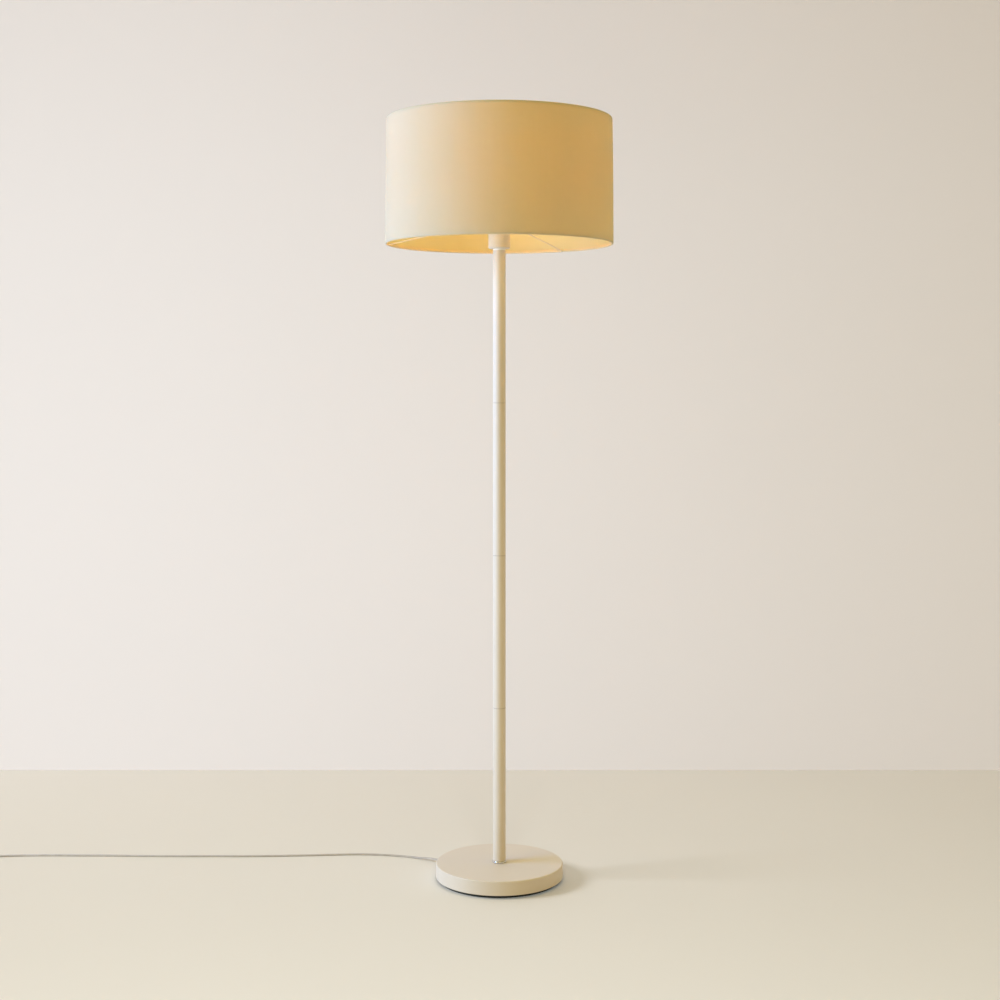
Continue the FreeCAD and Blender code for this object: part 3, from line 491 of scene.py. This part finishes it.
def lining_material():
    t = Tree("shade_lining")
    o = t.obj()
    cloud = t.noise(o, 12.0, 3.0)
    h, slub = weave(t, o)
    p = t.principled(Roughness=0.42)
    p.inputs["Specular IOR Level"].default_value = 0.35
    t.link(t.mix(t.span(slub, 0, 1, 0.36, 0.64), (0.69, 0.73, 0.61), (0.72, 0.76, 0.65)), p.inputs["Base Color"])
    t.link(t.span(cloud, 0.36, 0.5, 0.3, 0.7), p.inputs["Roughness"])
    t.link(t.bump(slub, 0.12, 0.0002), p.inputs["Normal"])
    tr = t.new("ShaderNodeBsdfTranslucent")
    t.link(t.mix(t.span(cloud, 0, 1, 0.3, 0.7), (0.98, 0.915, 0.70), (0.965, 0.895, 0.67)), tr.inputs[0])
    mix = t.new("ShaderNodeMixShader")
    mix.inputs[0].default_value = 0.56
    t.link(p.outputs[0], mix.inputs[1])
    t.link(tr.outputs[0], mix.inputs[2])
    t.link(mix.outputs[0], t.out.inputs[0])
    return t.m


M_CLOTH = cloth_material()
M_LINING = lining_material()

Z0, Z1 = 1.2530, 1.5000
RB, RT = 0.2250, 0.2230


def shade_r(z):
    return RB + (RT - RB) * (z - Z0) / (Z1 - Z0)


ARMS = [math.radians(v) for v in (53.6, 173.6, 293.6)]
SEAM = math.radians(112.0)
CLOTH_T = 0.0005


def away(a, b):
    """Signed angle from b to a, in -pi..pi."""
    return (a - b + math.pi) % (2 * math.pi) - math.pi


def smooth_noise(n, knots):
    """Closed smooth random line of n values, from knots random ones."""
    v = rng.normal(size=knots)
    x = np.arange(n) * knots / n
    i = np.floor(x).astype(int)
    f = x - i
    f = f * f * (3 - 2 * f)
    return v[i % knots] * (1 - f) + v[(i + 1) % knots] * f


def hem_line(r_out, z_edge, up):
    """Middle of the cloth where it folds round a ring wire, from inside to outside: (radius, height, share of the fold's rise)."""
    pts = []
    for k in range(6):
        f = 1 - k / 5
        pts.append((r_out - 0.00395, z_edge + up * (0.00184 + 0.0046 * f), f))
    for k in range(1, 13):
        t = math.pi * k / 13
        pts.append((r_out - 0.0021 - 0.00185 * math.cos(t), z_edge + up * (0.00184 - 0.00159 * math.sin(t)), 0.0))
    return pts


def shade_cloth():
    n, rows = 720, 56
    hem_low, hem_high = hem_line(RB, Z0, 1), hem_line(RT, Z1, -1)
    wall = [(None, Z0 + 0.00184 + (Z1 - Z0 - 0.00368) * k / rows, 0.0) for k in range(rows + 1)]
    path = hem_low + wall + list(reversed(hem_high))
    # threads that stand out a little, long ways and short ways
    cols = 0.000035 * smooth_noise(n, 340)
    rws = 0.000030 * rng.normal(size=rows + 1)
    patch = [0.00005 * smooth_noise(n, 90) for _ in range(5)]
    low_edge = 0.00030 * smooth_noise(n, 46) + 0.00012 * smooth_noise(n, 190)
    top_edge = 0.00030 * smooth_noise(n, 40) + 0.00012 * smooth_noise(n, 170)
    bm = bmesh.new()
    loops = []
    for k in range(n):
        a = 2 * math.pi * k / n
        gap = min(abs(away(a, v)) for v in ARMS) * 0.2205
        open_ = 1.0 if gap < 0.0026 else 0.0
        s = away(a, SEAM) * RB
        lap = 0.00042 * max(0.0, 1 + s / 0.055) if -0.055 < s <= 0.0 else (0.00042 if 0 < s <= 0.011 else 0.0)
        mid = []
        for i, (r, z, rise) in enumerate(path):
            on_wall = len(hem_low) <= i < len(hem_low) + rows + 1
            if on_wall:
                j = i - len(hem_low)
                t = j / rows
                belly = math.sin(math.pi * t)
                r = shade_r(z) - CLOTH_T / 2 + lap
                r += 0.00004 + belly * (0.00036 + 0.00022 * math.sin(3 * a + 0.5 + 2 * t) + 0.00012 * math.sin(8 * a - 3 * t))
                r += belly ** 0.3 * (0.00006 + cols[k] + rws[j] + patch[int(t * 4.99)][(k + 37 * j) % n])
            else:
                upper = i >= len(hem_low) + rows + 1
                side = -1 if upper else 1
                edge = Z1 if upper else Z0
                if rise > 0:
                    r += 0.00008 * math.sin(11 * a + i)
                    if not upper and open_:
                        z = edge + 0.00184 + 0.0006 * rise
                    else:
                        z += side * (top_edge if upper else low_edge)[k] * rise
                elif r > (RT if upper else RB) - 0.0021:
                    r += lap * min(1.0, (r - (RT if upper else RB) + 0.0021) / 0.00185)
            mid.append((r, z))
        mid = np.array(mid)
        d = np.gradient(mid, axis=0)
        d /= np.linalg.norm(d, axis=1)[:, None]
        nrm = np.stack([d[:, 1], -d[:, 0]], axis=1)
        outer, inner = mid + nrm * CLOTH_T / 2, mid - nrm * CLOTH_T / 2
        loop = np.concatenate([outer, inner[::-1]])
        c, sn = math.cos(a), math.sin(a)
        loops.append([bm.verts.new((r * c, r * sn, z)) for r, z in loop])
    m = len(loops[0])
    for k in range(n):
        p, q = loops[k], loops[(k + 1) % n]
        for i in range(m):
            j = (i + 1) % m
            bm.faces.new((p[i], q[i], q[j], p[j]))
    bmesh.ops.recalc_face_normals(bm, faces=bm.faces)
    me = bpy.data.meshes.new("shade_cloth")
    bm.to_mesh(me)
    bm.free()
    for f in me.polygons:
        f.use_smooth = True
    me.set_sharp_from_angle(angle=math.radians(50))
    ob = bpy.data.objects.new("shade_cloth", me)
    scene.collection.objects.link(ob)
    me.materials.append(M_CLOTH)
    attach(ob, "shade")
    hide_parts("shade_fabric")
    return ob


shade_cloth()
NODE["shade_liner"].data.materials.clear()
NODE["shade_liner"].data.materials.append(M_LINING)


# ------------------------------------------------------------------ lit bulb
def opal_material():
    t = Tree("bulb_opal")
    o = t.obj()
    c = t.noise(o, 40.0, 2.0)
    p = t.principled(Roughness=0.35)
    t.link(t.mix(t.span(c, 0, 1, 0.3, 0.7), srgb(250, 244, 232), srgb(246, 238, 224)), p.inputs["Base Color"])
    p.inputs["Emission Color"].default_value = (1.0, 0.40, 0.05, 1.0)
    p.inputs["Emission Strength"].default_value = 80.0
    t.link(p.outputs[0], t.out.inputs[0])
    return t.m


NODE["bulb_globe"].data.materials.clear()
NODE["bulb_globe"].data.materials.append(opal_material())


# ------------------------------------------------------------------ switch spring: a copy of the spring node on the stand body, with its own mesh
spring_node = NODE["switch_spring"]
bpy.context.view_layer.update()
spring = spring_node.copy()
spring.data = spring_node.data.copy()
spring.name = "switch_spring_coil"
bpy.context.scene.collection.objects.link(spring)
spring.parent = None
spring.matrix_world = spring_node.matrix_world.copy()
bpy.context.view_layer.update()
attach(spring, "stand")
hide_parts("switch_spring")
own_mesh(spring)

# ------------------------------------------------------------------ stage and light
def quad(name, corners, material):
    me = bpy.data.meshes.new(name)
    me.from_pydata(corners, [], [(0, 1, 2, 3)])
    ob = bpy.data.objects.new(name, me)
    scene.collection.objects.link(ob)
    me.materials.append(material)
    ob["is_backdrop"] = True
    return ob


M_FLOOR = plain("floor", (0.785, 0.75, 0.695), (0.775, 0.74, 0.685), 0.75, 300.0, 0.03, 0.0002, tint_scale=1.5, spec=0.2)
M_WALL = plain("wall", (0.658, 0.556, 0.444), (0.650, 0.549, 0.438), 0.85, 300.0, 0.02, 0.0002, tint_scale=1.0, spec=0.1)
floor = quad("stage_floor", [(-6, -6, 0), (6, -6, 0), (6, 0.872, 0), (-6, 0.872, 0)], M_FLOOR)
wall = quad("stage_wall", [(-6, 0.872, 0), (6, 0.872, 0), (6, 0.872, 5), (-6, 0.872, 5)], M_WALL)


def area(name, loc, target, size, power, colour, size_y=None):
    d = bpy.data.lights.new(name, "AREA")
    d.shape = "RECTANGLE"
    d.size, d.size_y = size, size_y or size
    d.energy = power
    d.color = colour
    o = bpy.data.objects.new(name, d)
    scene.collection.objects.link(o)
    o.location = loc
    o.rotation_euler = (Vector(target) - Vector(loc)).to_track_quat("-Z", "Y").to_euler()
    o.visible_camera = False
    return o


def only_on(light, things, shadow_of):
    """The light is a wash for these stage pieces: it lights nothing else, and only the second list casts a shadow in it."""
    for slot, members in (("receiver_collection", things), ("blocker_collection", shadow_of)):
        c = bpy.data.collections.new(light.name + "_" + slot[:8])
        for x in members:
            c.objects.link(x)
        setattr(light.light_linking, slot, c)


def not_on(light, *things):
    c = bpy.data.collections.new(light.name + "_leaves_out")
    for x in things:
        c.objects.link(x)
    light.light_linking.receiver_collection = c
    for x in c.collection_objects:
        x.light_linking.link_state = "EXCLUDE"


def lamp(name, loc, target, size, rgb, size_y=None):
    """rgb is the power in watts in each channel."""
    top = max(rgb)
    return area(name, loc, target, size, top, tuple(c / top for c in rgb), size_y)


# a tall window light from the left with its brightest part up by the shade, and a warm room around it
keys = [
    lamp("window", (-2.45, -1.75, 1.20), (0, 0, 1.10), 1.0, (21.9, 20.4, 6.3), 1.9),
    lamp("window_high", (-1.60, -0.24, 1.50), (0, 0, 1.2), 0.8, (7.6, 14.0, 30.0), 0.9),
    lamp("window_low", (-2.7, -0.90, 0.40), (0, 0, 1.2), 1.2, (16.8, 25.5, 36.0), 0.6),
]
room = [
    lamp("room_right", (3.0, -0.3, 1.6), (0, 0, 0.8), 1.5, (12.6, 11.8, 6.6)),
    lamp("room_top", (0, -0.3, 3.3), (0, 0, 0.5), 2.0, (23.5, 22.0, 7.0)),
]
for k in keys + [NODE["bulb_globe"]]:
    not_on(k, wall, floor)
for k in room:
    not_on(k, wall, floor)
only_on(lamp("wall_wash_left", (-2.0, -3.5, 0.9), (-0.3, 0.872, 0.86), 1.4, (150.8, 201.8, 294.7)), [wall], [floor])
only_on(lamp("wall_wash_right", (3.2, -2.2, 0.3), (0.48, 0.872, 0.62), 1.4, (35.6, 44.0, 44.5)), [wall], [floor])
low = [NODE[n] for n in ("base_cover", "bottom_cover", "base_pad", "foot_ring", "tube_section_1", "cord_bush", "plug_body", "plug_pins", "switch_base", "switch_cover")] + [lead, tail]
only_on(lamp("floor_wash", (-9.0, -1.5, 5.6), (0, 0, 0), 3.2, (581.0, 625.0, 690.0)), [floor], low)
only_on(lamp("floor_front", (0, -3.0, 1.5), (0, -1.2, 0), 1.0, (44.0, 47.0, 45.7)), [floor], low)
only_on(lamp("floor_fill", (0, -1.5, 4.0), (0, -0.5, 0), 2.0, (0.5, 7.0, 13.0)), [floor], [wall])
world = bpy.data.worlds.new("world")
scene.world = world
world.use_nodes = True
bg = world.node_tree.nodes["Background"]
bg.inputs[0].default_value = (1.0, 0.66, 0.10, 1.0)
bg.inputs[1].default_value = 0.358

low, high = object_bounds()
